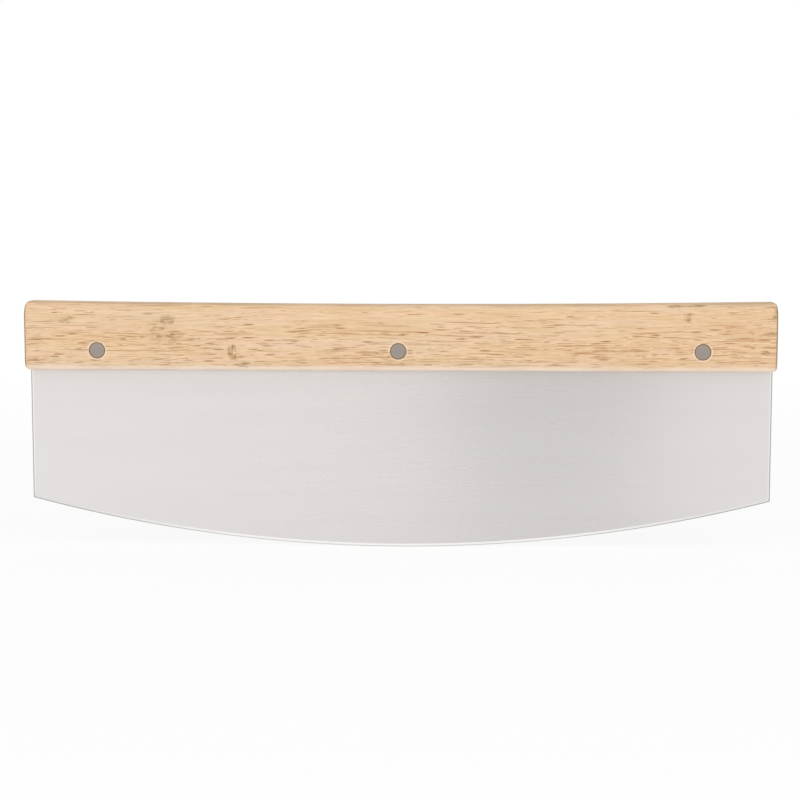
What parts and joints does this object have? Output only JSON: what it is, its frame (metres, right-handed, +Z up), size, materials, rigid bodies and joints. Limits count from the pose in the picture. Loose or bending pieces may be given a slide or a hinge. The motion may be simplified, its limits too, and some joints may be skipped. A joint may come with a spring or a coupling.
{
  "type": "rocking pizza knife",
  "caption": "Long rocking pizza knife: a wide curved steel blade held in a full-length wooden bar handle by flush rivets.",
  "frame": {"origin": "lowest point of the cutting edge, in the middle of the blade's length and thickness, which is the bottom centre of the whole object", "axes": "+X along the handle, to the right as seen from the front; -Y is the front, where the socket halves of the rivets show; +Z up, from the cutting edge to the top of the handle"},
  "size_m": [0.35, 0.022, 0.1165],
  "materials": {
    "handle_wood": "sanded pale hardwood with short brown pores, matt oil",
    "blade_steel": "fine brushing along the length, with a brighter ground bevel",
    "rivet_metal": "satin grey"
  },
  "bodies": {
    "root": {"handle": "handle_wood", "blade": "blade_steel", "rivet_socket_left": "rivet_metal", "rivet_socket_centre": "rivet_metal", "rivet_socket_right": "rivet_metal", "rivet_stud_left": "rivet_metal", "rivet_stud_centre": "rivet_metal", "rivet_stud_right": "rivet_metal"}
  },
  "joints": []
}
